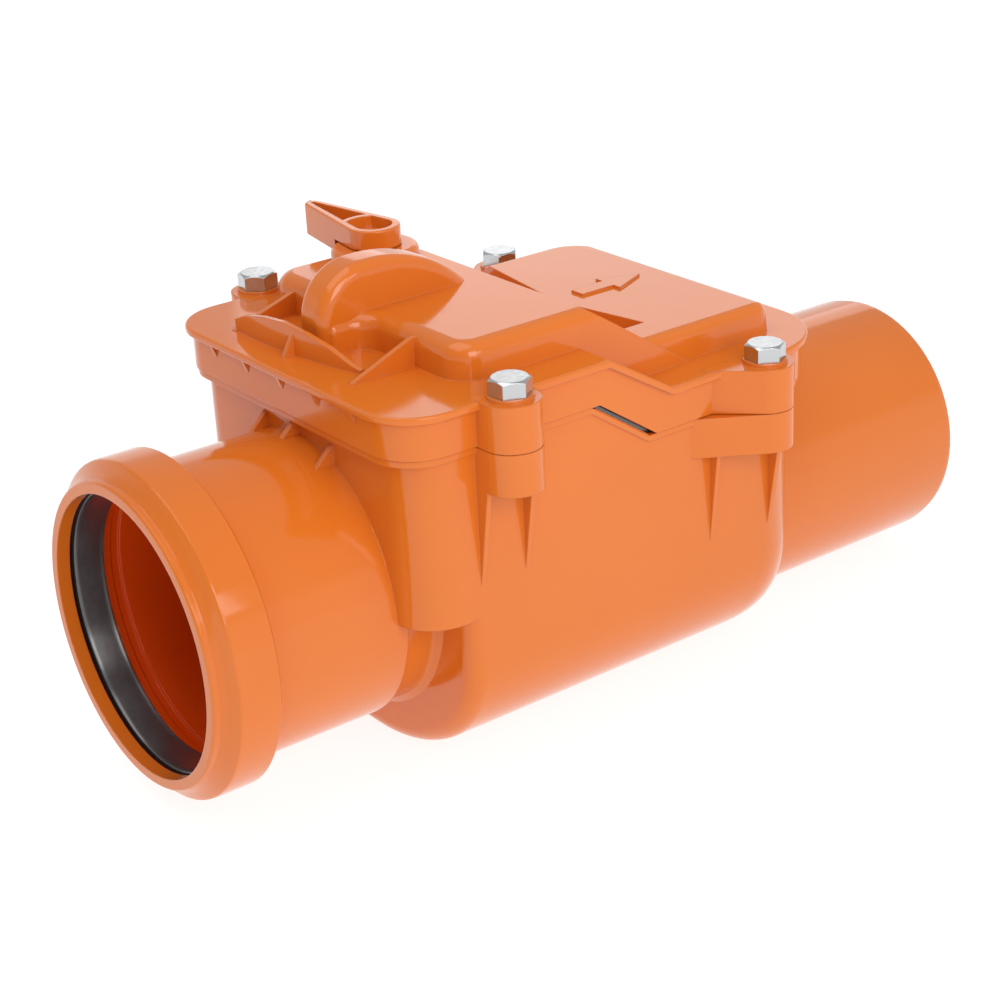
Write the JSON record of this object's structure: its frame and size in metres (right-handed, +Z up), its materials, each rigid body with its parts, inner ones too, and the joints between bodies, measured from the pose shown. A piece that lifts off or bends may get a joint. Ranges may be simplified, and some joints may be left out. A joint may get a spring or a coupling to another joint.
{
  "type": "backwater valve",
  "caption": "In-line backwater valve for a drain: pipe socket, trough housing with bolted stepped cover, hinged flap, locking hand lever and spigot.",
  "frame": {"origin": "under the middle of the valve's length, on its lowest face, midway across", "axes": "+X along the flow from socket to spigot, +Y across, +Z up to the cover"},
  "size_m": [0.3892, 0.1928, 0.1946],
  "materials": {
    "pvc_orange": "smooth moulded orange-brown plastic with a soft gloss",
    "rubber_black": "matte black elastomer",
    "zinc_steel": "bright zinc-plated steel",
    "abs_grey": "dark grey moulded plastic"
  },
  "bodies": {
    "valve_body": {"housing": "pvc_orange", "socket_seal": "rubber_black", "cover": "pvc_orange", "cover_gasket": "rubber_black", "seat_frame": "abs_grey", "cover_bolt_1": "zinc_steel", "cover_bolt_2": "zinc_steel", "cover_bolt_3": "zinc_steel", "cover_bolt_4": "zinc_steel", "cover_nut_1": "zinc_steel", "cover_nut_2": "zinc_steel", "cover_nut_3": "zinc_steel", "cover_nut_4": "zinc_steel", "hinge_pin": "zinc_steel", "hinge_pin_clip": "zinc_steel"},
    "flap": {"flap_plate": "abs_grey", "flap_seal": "rubber_black", "seal_retainer": "abs_grey", "retainer_screw_1": "zinc_steel", "retainer_screw_2": "zinc_steel", "retainer_screw_3": "zinc_steel"},
    "lever": {"lever": "pvc_orange", "lock_finger": "abs_grey", "finger_screw": "zinc_steel", "shaft_o_ring_1": "rubber_black", "shaft_o_ring_2": "rubber_black"}
  },
  "joints": [
    {"name": "flap_hinge", "type": "hinge", "parent": "valve_body", "child": "flap", "pos_m": [-0.0803, 0, 0.14278], "axis": [0, -1, 0], "range_deg": [0, 72]},
    {"name": "lever_turn", "type": "hinge", "parent": "valve_body", "child": "lever", "pos_m": [-0.0416, 0.048, 0.1825], "axis": [0, 0, 1], "range_deg": [0, 90]}
  ]
}
